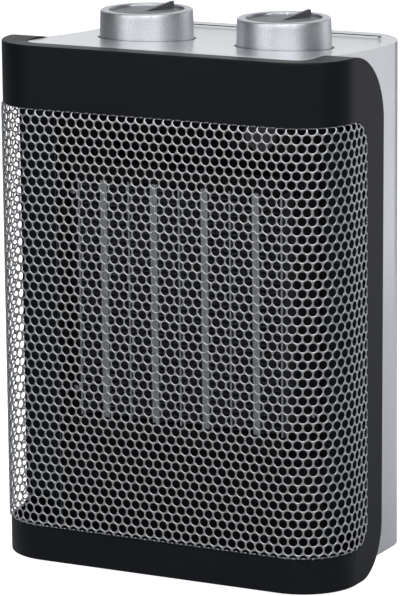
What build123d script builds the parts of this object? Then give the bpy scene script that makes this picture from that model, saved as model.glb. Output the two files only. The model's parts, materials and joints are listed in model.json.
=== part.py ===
from build123d import *
import os
from math import cos, pi, radians, sin

# Ceramic fan heater: a black bezel wraps round the front and sides of a narrower silver housing,
# and a perforated steel grille wraps round the front with it. Two knobs stand on the top.
# Millimetres. +Z is up, the front faces -Y, and the origin is the bottom centre of the box
# that holds the whole heater, on the surface that it stands on.

# ---------------------------------------------------------------- driving dimensions
overall_width = 189.5
overall_depth = 127.0
front_y = -overall_depth / 2
rear_y = overall_depth / 2
wall = 2.6
clearance = 0.3

# Perforated grille, the outermost surface at the front and the sides
grille_half_width = overall_width / 2
grille_corner_r = 28.85
grille_sheet = 0.9
grille_stand = 0.85
grille_flange = 4.0

# Black front bezel
bezel_half_width = grille_half_width - grille_stand
bezel_front_y = front_y + grille_stand
bezel_corner_r = grille_corner_r - grille_stand
bezel_bottom_z = 3.2
bezel_top_z = 260.5
bezel_wall = 2.4
bezel_roof = 4.7
wing_rear_top_y = -2.4
wing_rear_bottom_y = -4.6
wing_top_depth = 33.0
wing_top_height = 34.0
wing_bottom_depth = 22.5
wing_bottom_height = 26.5
bezel_edge_r = 0.8
opening_bottom_z = 20.3
opening_top_z = 230.0
opening_rear_y = -21.8
opening_corner_r = 13.0

# Silver housing
housing_half_width = 78.1
housing_rear_y = 62.9
housing_corner_r = 20.7
housing_bottom_z = 1.5
housing_front_y = -25.5
tongue_front_y = -52.5
tongue_half_width = 76.5
tongue_corner_r = 8.0
tongue_gap = 0.6
tongue_under_z = 258.1
roof_line = [(-70.0, 260.3), (-44.0, 260.1), (-23.5, 259.0), (63.5, 257.2)]
ceiling_z = 255.0
grip_rear_y = 53.0
grip_front_y = 24.0
grip_half_width = 67.5
grip_depth = 0.9
grip_corner_r = 3.0

# Heating element
element_z = 132.7
element_front_y = -36.1
element_depth = 15.0
element_height = 119.5
bar_count = 4
bar_pitch = 27.7
bar_width = 3.8
bar_wall = 0.6
plate_thickness = 1.0
fin_sheet = 0.3
fin_half_pitch = 1.15
stone_count = 4
holder_height = 9.0
holder_half_width = 56.0

# Fan, duct and motor, all on one axis behind the element
duct_bore_r = 60.0
duct_wall = 3.0
duct_neck_y = -8.0
duct_rear_y = 24.0
blade_count = 7
fan_front_y = 2.0
fan_depth = 18.0
fan_tip_r = 57.0
hub_r = 18.0
shaft_r = 2.0
running_gap = 0.03
stator_front_y = 30.0
stator_rear_y = 46.0
stator_half_width = 27.0
stator_bore_r = 12.9
rotor_r = 12.5
motor_screw_x = 21.0
bush_r = 4.5

# Controls on the top
knob_x = 37.7
knob_y = 3.5
knob_base_r = 23.3
knob_rim_r = 22.8
knob_rim_edge = 0.5
knob_skin = 1.9
knob_base_z = 256.4
knob_rim_z = 271.5
knob_dish_r = 18.6
knob_dish_depth = 1.1
knob_hub_r = 6.0
pointer_rise = 1.9
pointer_angle = 74.0
ring_inner_r = 23.6
ring_outer_r = 24.3
control_shaft_r = 3.0
control_plate_top_z = 251.0
control_plate_thickness = 1.5

# Base
plate_top_z = 4.0
foot_r = 7.0
foot_height = 3.0
front_foot = (58.0, -44.0)
rear_foot = (54.0, 38.0)
tip_switch_x = 42.0
tip_switch_y = 8.0
plunger_r = 2.5
gland_x = -32.0
gland_z = 28.0
gland_bore_r = 3.6

# Screws
screw_r = 1.5
screw_head_r = 2.9
screw_head_height = 2.0
pilot_r = screw_r + 0.05

os.makedirs("parts", exist_ok=True)


# ---------------------------------------------------------------- shared helpers
def facing(y):
    """Plane across the heater at depth y: local x is X, local y is Z, and it looks forward."""
    return Plane(origin=(0, y, 0), x_dir=(1, 0, 0), z_dir=(0, -1, 0))


def level(z):
    """Plane at height z that looks up."""
    return Plane.XY.offset(z)


def finish(part, name):
    """Label a finished piece and write it."""
    part.label = name
    export_step(part, f"parts/{name}.step")


def screw_group(planes, length):
    """Pan-head screws with a cross recess. Each plane's origin is the seat of one head."""
    with BuildPart() as group:
        for plane in planes:
            with BuildSketch(plane):
                Circle(screw_r)
            extrude(amount=-length)
            with BuildSketch(plane):
                Circle(screw_head_r)
            extrude(amount=screw_head_height, taper=12)
            with BuildSketch(plane.offset(screw_head_height)):
                Rectangle(3.2, 0.7)
                Rectangle(0.7, 3.2)
            extrude(amount=-1.0, mode=Mode.SUBTRACT)
    return group.part


def wrap_body(half_width, nose_y, corner_r, bottom, top, back_y):
    """Upright solid with a flat nose and rounded front corners, straight to back_y."""
    with BuildPart() as body:
        with BuildSketch(level(bottom)):
            with Locations((0, (nose_y + back_y) / 2)):
                Rectangle(2 * half_width, back_y - nose_y)
        extrude(amount=top - bottom)
        nose = body.edges().filter_by(Axis.Z).group_by(Axis.Y)[0]
        fillet(nose, corner_r)
    return body.part


def bezel_side_solid(inset, roof):
    """The bezel's outline seen from the side, as a slab wider than the bezel."""
    low = bezel_bottom_z + inset
    high = bezel_top_z - roof
    lower_y = wing_rear_bottom_y - wing_bottom_depth
    lower_z = bezel_bottom_z + wing_bottom_height
    upper_y = wing_rear_top_y - wing_top_depth
    upper_z = bezel_top_z - wing_top_height
    nose = bezel_front_y + inset
    with BuildPart() as slab:
        with BuildSketch(Plane.YZ):
            with BuildLine():
                bottom_arc = EllipticalCenterArc(
                    (lower_y, lower_z), wing_bottom_depth - inset, lower_z - low, 270, arc_size=90
                )
                top_arc = EllipticalCenterArc(
                    (upper_y, upper_z), wing_top_depth - inset, high - upper_z, 0, arc_size=90
                )
                Line(bottom_arc @ 1, top_arc @ 0)
                Polyline(top_arc @ 1, (nose, high), (nose, low), bottom_arc @ 0)
            make_face()
        extrude(amount=grille_half_width + 10, both=True)
    return slab.part


def opening_slab(margin, nose_y):
    """The grille opening seen from the side, larger than the opening by margin all round."""
    with BuildPart() as slab:
        with BuildSketch(Plane.YZ):
            rear = opening_rear_y + margin
            middle_z = (opening_bottom_z + opening_top_z) / 2
            height = opening_top_z - opening_bottom_z + 2 * margin
            with Locations(((nose_y + rear) / 2, middle_z)):
                Rectangle(rear - nose_y, height)
        extrude(amount=grille_half_width + 10, both=True)
        rear_edges = slab.edges().filter_by(Axis.X).group_by(Axis.Y)[-1]
        fillet(rear_edges, opening_corner_r + margin)
    return slab.part


# ---------------------------------------------------------------- front bezel
bezel_post_x = 58.0
bezel_post_heights = (13.0, 243.0)
bezel_post_rear_y = -24.0
bezel_outer = wrap_body(
    bezel_half_width, bezel_front_y, bezel_corner_r, bezel_bottom_z, bezel_top_z, 0
)
bezel_inner = wrap_body(
    bezel_half_width - bezel_wall,
    bezel_front_y + bezel_wall,
    bezel_corner_r - bezel_wall,
    bezel_bottom_z + bezel_wall,
    bezel_top_z,
    0,
)
bezel_side = bezel_side_solid(0, 0)
cavity_side = bezel_side_solid(bezel_wall, bezel_roof)
window = opening_slab(0, front_y - 10)
post_places = [(x, z) for x in (-bezel_post_x, bezel_post_x) for z in bezel_post_heights]

with BuildPart() as bezel_cavity:
    add(bezel_inner)
    add(cavity_side, mode=Mode.INTERSECT)

# Walls that close the wings beside the housing and cover its front edges
liner_wall = 1.5
liner_front_y = housing_front_y - 1.5
liner_half_width = housing_half_width + clearance + liner_wall
liner_opening_half_width = 74.5
passage_front_y = housing_front_y - 0.5
wing_wall_half_width = grille_half_width - grille_sheet - clearance
wing_wall_low_z = opening_bottom_z + 6.0
wing_wall_high_z = opening_top_z - 6.0
wing_wall_depth = passage_front_y - liner_front_y
with BuildPart() as bezel_liner:
    with BuildSketch(level(0)):
        with Locations((0, liner_front_y / 2)):
            Rectangle(2 * liner_half_width, -liner_front_y)
            Rectangle(2 * liner_opening_half_width, -liner_front_y, mode=Mode.SUBTRACT)
    extrude(amount=300)
    add(bezel_outer, mode=Mode.INTERSECT)
    add(bezel_side, mode=Mode.INTERSECT)
    with BuildSketch(level(wing_wall_low_z)):
        with Locations((0, (liner_front_y + passage_front_y) / 2)):
            Rectangle(2 * wing_wall_half_width, wing_wall_depth)
            Rectangle(2 * liner_opening_half_width, wing_wall_depth, mode=Mode.SUBTRACT)
    extrude(amount=wing_wall_high_z - wing_wall_low_z)

with BuildPart() as front_bezel:
    add(bezel_outer)
    add(bezel_side, mode=Mode.INTERSECT)
    fillet(front_bezel.edges().filter_by(lambda edge: not edge.is_interior), bezel_edge_r)
    add(bezel_cavity.part, mode=Mode.SUBTRACT)
    add(window, mode=Mode.SUBTRACT)
    add(bezel_liner.part)
    # Posts that take the screws from the inner frame
    with BuildSketch(facing(bezel_post_rear_y)):
        with Locations(*post_places):
            Circle(4.5)
    extrude(amount=bezel_post_rear_y - bezel_front_y - 1)
    with BuildSketch(facing(bezel_post_rear_y)):
        with Locations(*post_places):
            Circle(pilot_r)
    extrude(amount=14, mode=Mode.SUBTRACT)
    # Way through for the housing, and the recess for the tongue of its roof
    with BuildSketch(level(0)):
        with Locations((0, passage_front_y + 30)):
            Rectangle(2 * (housing_half_width + clearance), 60)
    extrude(amount=300, mode=Mode.SUBTRACT)
    with BuildSketch(level(tongue_under_z - 0.1)):
        with Locations((0, (tongue_front_y - tongue_gap) / 2)):
            RectangleRounded(
                2 * (tongue_half_width + tongue_gap), tongue_gap - tongue_front_y, tongue_corner_r + tongue_gap
            )
    extrude(amount=20, mode=Mode.SUBTRACT)
    # Pockets for the two front feet
    with BuildSketch(level(bezel_bottom_z)):
        with Locations((-front_foot[0], front_foot[1]), (front_foot[0], front_foot[1])):
            Circle(foot_r + 0.1)
    extrude(amount=1.2, mode=Mode.SUBTRACT)
finish(front_bezel.part, "front_bezel")

# ---------------------------------------------------------------- perforated front grille
grille_outer = wrap_body(grille_half_width, front_y, grille_corner_r, 0, 260, 0)
grille_inner = wrap_body(
    grille_half_width - grille_sheet, front_y + grille_sheet, grille_corner_r - grille_sheet, 0, 260, 1
)
flange_inner = wrap_body(
    grille_half_width - grille_flange, front_y + grille_flange, grille_corner_r - grille_flange, 0, 260, 1
)
sheet_outline = opening_slab(-clearance, front_y - 10)
flange_outline = opening_slab(-clearance - grille_sheet, front_y - 10)

with BuildPart() as grille_rim:
    add(grille_outer)
    add(flange_inner, mode=Mode.SUBTRACT)
    add(sheet_outline, mode=Mode.INTERSECT)
    add(flange_outline, mode=Mode.SUBTRACT)

with BuildPart() as front_grille:
    add(grille_outer)
    add(grille_inner, mode=Mode.SUBTRACT)
    add(sheet_outline, mode=Mode.INTERSECT)
    add(grille_rim.part)
finish(front_grille.part, "front_grille")

# ---------------------------------------------------------------- silver housing
control_post_places = [(-68.0, -14.0), (-68.0, 20.0), (0.0, -14.0), (0.0, 20.0), (68.0, -14.0), (68.0, 20.0)]
base_pillar_places = [(-71.0, -14.0), (71.0, -14.0), (-67.0, 51.6), (67.0, 51.6)]
frame_boss_places = [(-70.0, 40.0), (70.0, 40.0), (-70.0, 228.0), (70.0, 228.0)]
panel_half_width = 55.0
panel_bottom_z = 52.0
panel_top_z = 216.0
panel_centre_z = (panel_bottom_z + panel_top_z) / 2
panel_height = panel_top_z - panel_bottom_z
panel_corner_r = 8.0
ledge = 5.0
ledge_front_y = 57.9
ledge_rear_y = 60.3
panel_screw_places = [
    (x, z) for x in (-panel_half_width + 7, panel_half_width - 7) for z in (panel_bottom_z + 7, panel_top_z - 7)
]

with BuildPart() as housing_envelope:
    with BuildSketch(level(housing_bottom_z)):
        with Locations((0, (housing_front_y + housing_rear_y) / 2)):
            Rectangle(2 * housing_half_width, housing_rear_y - housing_front_y)
        with Locations((0, (tongue_front_y + housing_front_y) / 2)):
            Rectangle(2 * tongue_half_width, housing_front_y - tongue_front_y)
    extrude(amount=270)
    uprights = housing_envelope.edges().filter_by(Axis.Z)
    fillet(uprights.group_by(Axis.Y)[-1], housing_corner_r)
    fillet(uprights.group_by(Axis.Y)[0], tongue_corner_r)
    with BuildSketch(Plane.YZ):
        with BuildLine():
            roof = Spline(*roof_line)
            Polyline(roof @ 1, (roof_line[-1][0], 0), (roof_line[0][0], 0), roof @ 0)
        make_face()
    extrude(amount=100, both=True, mode=Mode.INTERSECT)

with BuildPart() as grip_recess:
    with BuildSketch(level(250)):
        with Locations((0, (grip_front_y - 20 + grip_rear_y) / 2)):
            RectangleRounded(2 * grip_half_width, grip_rear_y - grip_front_y + 20, grip_corner_r)
    extrude(amount=20)
    with BuildSketch(Plane.YZ):
        with BuildLine():
            Polyline(
                (grip_front_y, roof_line[-1][1] + 0.85),
                (grip_rear_y + 1, roof_line[-1][1] + 0.2 - grip_depth),
                (grip_rear_y + 1, 270),
                (grip_front_y, 270),
                close=True,
            )
        make_face()
    extrude(amount=100, both=True, mode=Mode.INTERSECT)

with BuildPart() as housing_shell:
    add(housing_envelope.part)
    # Only the roof reaches forward of the side walls
    with BuildSketch(level(0)):
        with Locations((0, housing_front_y - 50)):
            Rectangle(200, 100)
    extrude(amount=tongue_under_z, mode=Mode.SUBTRACT)
    # Hollow, open at the front and the bottom
    with BuildSketch(level(0)):
        with Locations((0, (housing_front_y - 20 + housing_rear_y - wall) / 2)):
            Rectangle(2 * (housing_half_width - wall), housing_rear_y - wall - housing_front_y + 20)
        corners = vertices().group_by(Axis.Y)[-1]
        fillet(corners, housing_corner_r - wall)
    extrude(amount=ceiling_z, mode=Mode.SUBTRACT)
    # Ledge behind the rear panel
    with BuildSketch(facing(housing_rear_y - wall + 0.1)):
        with Locations((0, panel_centre_z)):
            Rectangle(2 * (panel_half_width + 3), panel_height + 6)
    extrude(amount=housing_rear_y - wall + 0.1 - ledge_front_y)
    with BuildSketch(facing(housing_rear_y + 1)):
        with Locations((0, panel_centre_z)):
            RectangleRounded(2 * (panel_half_width - ledge), panel_height - 2 * ledge, 4)
    extrude(amount=10, mode=Mode.SUBTRACT)
    with BuildSketch(facing(ledge_rear_y)):
        with Locations((0, panel_centre_z)):
            RectangleRounded(2 * panel_half_width + 2 * clearance, panel_height + 2 * clearance, panel_corner_r)
    extrude(amount=-5, mode=Mode.SUBTRACT)
    # Bosses for the rear panel's screws
    with BuildSketch(facing(ledge_rear_y)):
        with Locations(*panel_screw_places):
            Circle(4.5)
    extrude(amount=9)
    # Posts for the control plate, pillars for the base, bosses for the inner frame
    with BuildSketch(level(control_plate_top_z)):
        with Locations(*control_post_places):
            Circle(4)
    extrude(amount=ceiling_z + 1 - control_plate_top_z)
    with BuildSketch(level(plate_top_z)):
        with Locations(*base_pillar_places):
            Circle(5)
    extrude(amount=22)
    with BuildSketch(facing(-5)):
        with Locations(*frame_boss_places):
            Rectangle(11.4, 9)
    extrude(amount=16)
    # Inside pad round the cable inlet
    with BuildSketch(facing(housing_rear_y - 1)):
        with Locations((gland_x, gland_z)):
            Circle(13)
    extrude(amount=6.5)
    # Screw holes
    with BuildSketch(facing(ledge_rear_y)):
        with Locations(*panel_screw_places):
            Circle(pilot_r)
    extrude(amount=9, mode=Mode.SUBTRACT)
    with BuildSketch(level(control_plate_top_z)):
        with Locations(*control_post_places):
            Circle(pilot_r)
    extrude(amount=4.4, mode=Mode.SUBTRACT)
    with BuildSketch(level(plate_top_z)):
        with Locations(*base_pillar_places):
            Circle(pilot_r)
    extrude(amount=14, mode=Mode.SUBTRACT)
    with BuildSketch(facing(-21.1)):
        with Locations(*frame_boss_places):
            Circle(pilot_r)
    extrude(amount=-12, mode=Mode.SUBTRACT)
    # Knob wells, cable inlet and the shallow grip at the back of the roof
    with BuildSketch(level(ceiling_z - 1)):
        with Locations((-knob_x, knob_y), (knob_x, knob_y)):
            Circle(ring_outer_r + 0.05)
    extrude(amount=20, mode=Mode.SUBTRACT)
    with BuildSketch(facing(housing_rear_y + 1)):
        with Locations((gland_x, gland_z)):
            Circle(7.1)
    extrude(amount=12, mode=Mode.SUBTRACT)
    with BuildSketch(facing(housing_rear_y - 2)):
        with Locations((gland_x, gland_z)):
            Circle(9.2)
    extrude(amount=-5, mode=Mode.SUBTRACT)
    add(grip_recess.part, mode=Mode.SUBTRACT)
finish(housing_shell.part, "housing_shell")

# ---------------------------------------------------------------- rear air intake panel
slot_count = 21
slot_pitch = 6.4
slot_height = 3.2
slot_half_length = 44.0
with BuildPart() as rear_grille:
    with BuildSketch(facing(rear_y - 0.6)):
        with Locations((0, panel_centre_z)):
            RectangleRounded(2 * panel_half_width, panel_height, panel_corner_r)
    extrude(amount=rear_y - 0.6 - ledge_rear_y)
    with BuildSketch(facing(rear_y)):
        with Locations((0, panel_centre_z)):
            RectangleRounded(2 * (panel_half_width - 4), panel_height - 8, 5)
    extrude(amount=0.7)
    with BuildSketch(facing(rear_y + 1)):
        with Locations((0, panel_centre_z)):
            with GridLocations(slot_half_length + 4, slot_pitch, 2, slot_count):
                SlotOverall(slot_half_length - 2, slot_height)
    extrude(amount=6, mode=Mode.SUBTRACT)
    with BuildSketch(facing(rear_y + 1)):
        with Locations(*panel_screw_places):
            Circle(screw_r + 0.2)
    extrude(amount=6, mode=Mode.SUBTRACT)
    with BuildSketch(facing(ledge_rear_y + 1.0)):
        with Locations(*panel_screw_places):
            Circle(screw_head_r + 0.3)
    extrude(amount=-5, mode=Mode.SUBTRACT)
finish(rear_grille.part, "rear_grille")

# ---------------------------------------------------------------- inner frame behind the grille
frame_rear_y = -21.1
frame_front_y = -23.5
window_half_width = 57.0
window_half_height = element_height / 2 + holder_height + 0.7
holder_ear_x = 63.0
duct_screw_places = [(x, element_z + dz) for x in (-66.0, 66.0) for dz in (-50.0, 50.0)]
holder_screw_places = [
    (x, element_z + dz)
    for x in (-holder_ear_x, holder_ear_x)
    for dz in (-element_height / 2 - holder_height / 2, element_height / 2 + holder_height / 2)
]
cutoff_x = 40.0
cutoff_z = element_z + 87.0
cutoff_place = (cutoff_x, cutoff_z)
cutoff_body_r = 7.0
cutoff_tab_y = -11.0
cutoff_screw_places = [(cutoff_x - 14, cutoff_z), (cutoff_x + 14, cutoff_z)]
frame_low_z = 4.3
frame_high_z = 248.0
with BuildPart() as inner_frame:
    with BuildSketch(facing(frame_rear_y)):
        with Locations((0, (frame_low_z + frame_high_z) / 2)):
            Rectangle(2 * (housing_half_width - wall - clearance), frame_high_z - frame_low_z)
        with Locations((0, element_z)):
            Rectangle(2 * window_half_width, 2 * window_half_height, mode=Mode.SUBTRACT)
        with Locations(*post_places):
            Circle(screw_r + 0.2, mode=Mode.SUBTRACT)
        with Locations(*frame_boss_places):
            Circle(screw_r + 0.2, mode=Mode.SUBTRACT)
        with Locations(*duct_screw_places):
            Circle(pilot_r, mode=Mode.SUBTRACT)
        with Locations(*holder_screw_places):
            Circle(pilot_r, mode=Mode.SUBTRACT)
        with Locations(*cutoff_screw_places):
            Circle(pilot_r, mode=Mode.SUBTRACT)
        with Locations(cutoff_place):
            Circle(cutoff_body_r + 0.6, mode=Mode.SUBTRACT)
    extrude(amount=frame_rear_y - frame_front_y)
    # Stiffening rim round the window
    with BuildSketch(facing(frame_front_y)):
        with Locations((0, element_z)):
            Rectangle(2 * window_half_width + 26, 2 * window_half_height + 10)
            Rectangle(2 * window_half_width + 22, 2 * window_half_height + 6, mode=Mode.SUBTRACT)
    extrude(amount=3)
finish(inner_frame.part, "inner_frame")

# ---------------------------------------------------------------- heating element
element_rear_y = element_front_y + element_depth
bar_xs = [(i - (bar_count - 1) / 2) * bar_pitch for i in range(bar_count)]
plate_xs = [(i - bar_count / 2) * bar_pitch for i in range(bar_count + 1)]
element_low_z = element_z - element_height / 2
element_high_z = element_z + element_height / 2
fin_width = (bar_pitch - bar_width - plate_thickness) / 2

with BuildPart() as heating_bars:
    with BuildSketch(level(element_low_z)):
        with Locations(*[(x, element_front_y + element_depth / 2) for x in bar_xs]):
            Rectangle(bar_width, element_depth)
            Rectangle(bar_width - 2 * bar_wall, element_depth - 2 * bar_wall, mode=Mode.SUBTRACT)
    extrude(amount=element_height)
finish(heating_bars.part, "heating_bars")

stone_gap = 2.0
stone_height = (element_height - stone_gap * (stone_count + 1)) / stone_count
with BuildPart() as ceramic_stones:
    for i in range(stone_count):
        stone_z = element_low_z + stone_gap + i * (stone_height + stone_gap)
        with BuildSketch(level(stone_z)):
            with Locations(*[(x, element_front_y + element_depth / 2) for x in bar_xs]):
                Rectangle(bar_width - 2 * bar_wall - 0.2, element_depth - 2 * bar_wall - 0.4)
        extrude(amount=stone_height)
finish(ceramic_stones.part, "ceramic_stones")

with BuildPart() as side_plates:
    with BuildSketch(level(element_low_z)):
        with Locations(*[(x, element_front_y + element_depth / 2) for x in plate_xs]):
            Rectangle(plate_thickness, element_depth)
    extrude(amount=element_height)
finish(side_plates.part, "element_side_plates")


def fin_profile(left_x, right_x):
    """Corners of one folded strip that zigzags up between two walls."""
    fold_count = int((element_height - 2) / fin_half_pitch)
    ends = (left_x + 0.02, right_x - 0.02 - fin_sheet)
    start_z = element_low_z + 1
    rise = [(ends[i % 2], start_z + i * fin_half_pitch) for i in range(fold_count + 1)]
    back = [(x + fin_sheet, z) for x, z in reversed(rise)]
    return rise + back


with BuildPart() as fin_strips:
    for i in range(bar_count):
        spans = (
            (plate_xs[i] + plate_thickness / 2, bar_xs[i] - bar_width / 2),
            (bar_xs[i] + bar_width / 2, plate_xs[i + 1] - plate_thickness / 2),
        )
        for left_x, right_x in spans:
            with BuildSketch(facing(element_rear_y - 0.5)):
                with BuildLine():
                    Polyline(*fin_profile(left_x, right_x), close=True)
                make_face()
            extrude(amount=element_depth - 1)
finish(fin_strips.part, "fin_strips")


def element_holder(inner_z, outward):
    """End holder with sockets for the bars and plates and an ear at each side."""
    outer_z = inner_z + outward * holder_height
    with BuildPart() as holder:
        with BuildSketch(facing(element_rear_y)):
            with Locations((0, (inner_z + outer_z) / 2)):
                Rectangle(2 * holder_half_width, holder_height)
        extrude(amount=element_depth + 1)
        with BuildSketch(facing(frame_front_y)):
            with Locations((0, (inner_z + outer_z) / 2)):
                SlotOverall(2 * holder_ear_x + holder_height, holder_height)
        extrude(amount=2.4)
        with BuildSketch(facing(element_rear_y + 1)):
            with Locations(*[(x, (inner_z + outer_z) / 2) for x in bar_xs]):
                Rectangle(bar_width + 1.2, holder_height - 3)
        extrude(amount=8, mode=Mode.SUBTRACT)
        with BuildSketch(facing(frame_front_y + 1)):
            with Locations(*holder_screw_places):
                Circle(screw_r + 0.2)
        extrude(amount=6, mode=Mode.SUBTRACT)
    return holder.part


finish(element_holder(element_high_z, 1), "element_holder_top")
finish(element_holder(element_low_z, -1), "element_holder_bottom")

tab_base_z = element_high_z + holder_height
with BuildPart() as terminal_tabs:
    with BuildSketch(level(tab_base_z)):
        with Locations(*[(x, element_rear_y - 9) for x in bar_xs[:-1]]):
            Rectangle(6.3, 0.8)
    extrude(amount=9)
    with BuildSketch(facing(element_rear_y)):
        with Locations(*[(x, tab_base_z + 5.5) for x in bar_xs[:-1]]):
            Circle(0.9)
    extrude(amount=10, mode=Mode.SUBTRACT)
finish(terminal_tabs.part, "element_terminals")

with BuildPart() as terminal_sleeves:
    with BuildSketch(level(tab_base_z + 0.3)):
        with Locations(*[(x, element_rear_y - 9) for x in bar_xs[:-1]]):
            Rectangle(8.2, 3.4)
    extrude(amount=10.2)
    with BuildSketch(level(tab_base_z + 0.3)):
        with Locations(*[(x, element_rear_y - 9) for x in bar_xs[:-1]]):
            Rectangle(6.5, 1.0)
    extrude(amount=9, mode=Mode.SUBTRACT)
finish(terminal_sleeves.part, "terminal_sleeves")

# ---------------------------------------------------------------- overheat cut-out
with BuildPart() as cutoff_bracket:
    with BuildSketch(facing(frame_front_y)):
        with Locations(cutoff_place):
            RectangleRounded(36, 21, 3)
            with Locations((-14, 0), (14, 0)):
                Circle(screw_r + 0.2, mode=Mode.SUBTRACT)
            Circle(cutoff_body_r + 0.2, mode=Mode.SUBTRACT)
    extrude(amount=1.0)
finish(cutoff_bracket.part, "cutoff_bracket")

with BuildPart() as thermal_cutoff:
    with BuildSketch(facing(frame_front_y - 1.0)):
        with Locations(cutoff_place):
            Circle(8.4)
    extrude(amount=3.0)
    with BuildSketch(facing(frame_front_y - 1.0)):
        with Locations(cutoff_place):
            Circle(cutoff_body_r)
    extrude(amount=-6.0)
    with BuildSketch(facing(cutoff_tab_y)):
        with Locations((cutoff_x - 4.5, cutoff_z), (cutoff_x + 4.5, cutoff_z)):
            Rectangle(0.8, 5)
    extrude(amount=9)
finish(thermal_cutoff.part, "thermal_cutoff")

# ---------------------------------------------------------------- fan duct
duct_half_width = window_half_width + duct_wall
duct_half_height = window_half_height + duct_wall
lug_x = 67.0
with BuildPart() as fan_duct:
    with BuildSketch(facing(frame_rear_y + 2.5)):
        with Locations((0, element_z)):
            Rectangle(2 * 71.0, 2 * duct_half_height)
    extrude(amount=2.5)
    with BuildSketch(facing(duct_neck_y)):
        with Locations((0, element_z)):
            Rectangle(2 * duct_half_width, 2 * duct_half_height)
    extrude(amount=duct_neck_y - frame_rear_y)
    with BuildSketch(facing(duct_rear_y)):
        with Locations((0, element_z)):
            Circle(duct_bore_r + duct_wall)
    extrude(amount=duct_rear_y - duct_neck_y)
    with BuildSketch(facing(duct_rear_y)):
        with Locations((-lug_x + 2, element_z), (lug_x - 2, element_z)):
            Rectangle(14, 18)
    extrude(amount=12)
    with BuildSketch(facing(duct_rear_y)):
        with Locations((0, element_z)):
            Circle(duct_bore_r)
    extrude(amount=duct_rear_y - duct_neck_y + 4, mode=Mode.SUBTRACT)
    with BuildSketch(facing(duct_neck_y - duct_wall)):
        with Locations((0, element_z)):
            Rectangle(2 * window_half_width, 2 * window_half_height)
    extrude(amount=duct_neck_y - duct_wall - frame_rear_y, mode=Mode.SUBTRACT)
    with BuildSketch(facing(duct_rear_y)):
        with Locations((-lug_x, element_z), (lug_x, element_z)):
            Circle(pilot_r)
    extrude(amount=10, mode=Mode.SUBTRACT)
    with BuildSketch(facing(frame_rear_y + 3)):
        with Locations(*duct_screw_places):
            Circle(screw_r + 0.2)
    extrude(amount=4, mode=Mode.SUBTRACT)
finish(fan_duct.part, "fan_duct")

# ---------------------------------------------------------------- fan
blade_span_start = hub_r - 1.0
with BuildPart() as blade:
    for radius, twist, chord in ((blade_span_start, 48, 17.0), (37.0, 36, 25.0), (fan_tip_r, 27, 31.0)):
        with BuildSketch(Plane.XY.offset(radius)):
            Rectangle(1.8, chord, rotation=twist)
    loft()

fan_middle_y = fan_front_y + fan_depth / 2
blades = []
for i in range(blade_count):
    turn = radians(360 / blade_count * i)
    outward = (cos(turn), 0, sin(turn))
    blade_plane = Plane(origin=(0, fan_middle_y, element_z), x_dir=(0, 1, 0), z_dir=outward)
    blades.append(blade.part.moved(blade_plane.location))

with BuildPart() as fan_wheel:
    with BuildSketch(facing(fan_front_y + fan_depth)):
        with Locations((0, element_z)):
            Circle(hub_r)
    extrude(amount=fan_depth)
    hub_front = fan_wheel.faces().sort_by(Axis.Y)[0]
    fillet(hub_front.edges(), 3)
    with BuildSketch(facing(fan_front_y + fan_depth)):
        with Locations((0, element_z)):
            Circle(hub_r - 2.5)
            Circle(5, mode=Mode.SUBTRACT)
    extrude(amount=fan_depth - 3, mode=Mode.SUBTRACT)
    for wing in blades:
        add(wing)
    with BuildSketch(facing(fan_front_y + fan_depth)):
        with Locations((0, element_z)):
            Circle(hub_r - 2.5)
            Circle(5, mode=Mode.SUBTRACT)
    extrude(amount=fan_depth - 3, mode=Mode.SUBTRACT)
    with BuildSketch(facing(fan_front_y + fan_depth)):
        with Locations((0, element_z)):
            Circle(shaft_r + 0.02)
    extrude(amount=fan_depth + 2, mode=Mode.SUBTRACT)
finish(fan_wheel.part, "fan_wheel")

# ---------------------------------------------------------------- motor
axis_place = (0, element_z)
motor_screw_places = [(-motor_screw_x, element_z), (motor_screw_x, element_z)]
with BuildPart() as motor_shaft:
    with BuildSketch(facing(54)):
        with Locations(axis_place):
            Circle(shaft_r)
    extrude(amount=54 - fan_front_y + 1)
    chamfer(motor_shaft.edges().filter_by(GeomType.CIRCLE), 0.3)
finish(motor_shaft.part, "motor_shaft")

with BuildPart() as motor_rotor:
    with BuildSketch(facing(stator_rear_y)):
        with Locations(axis_place):
            Circle(rotor_r)
            Circle(shaft_r + 0.02, mode=Mode.SUBTRACT)
    extrude(amount=stator_rear_y - stator_front_y)
finish(motor_rotor.part, "motor_rotor")

coil_low_z = element_z - 53.0
yoke_low_z = element_z - 46.0
yoke_height = 10.0
window_low_z = yoke_low_z + yoke_height
window_high_z = element_z - 20.0
stator_top_z = element_z + 20.0
with BuildPart() as motor_stator:
    with BuildSketch(facing(stator_rear_y)):
        with Locations((0, (yoke_low_z + stator_top_z) / 2)):
            RectangleRounded(2 * stator_half_width, stator_top_z - yoke_low_z, 3)
        with Locations((0, (window_low_z + window_high_z) / 2)):
            Rectangle(34, window_high_z - window_low_z, mode=Mode.SUBTRACT)
        with Locations(axis_place):
            Circle(stator_bore_r, mode=Mode.SUBTRACT)
        with Locations(*motor_screw_places):
            Circle(screw_r + 0.2, mode=Mode.SUBTRACT)
    extrude(amount=stator_rear_y - stator_front_y)
finish(motor_stator.part, "motor_stator")

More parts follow.
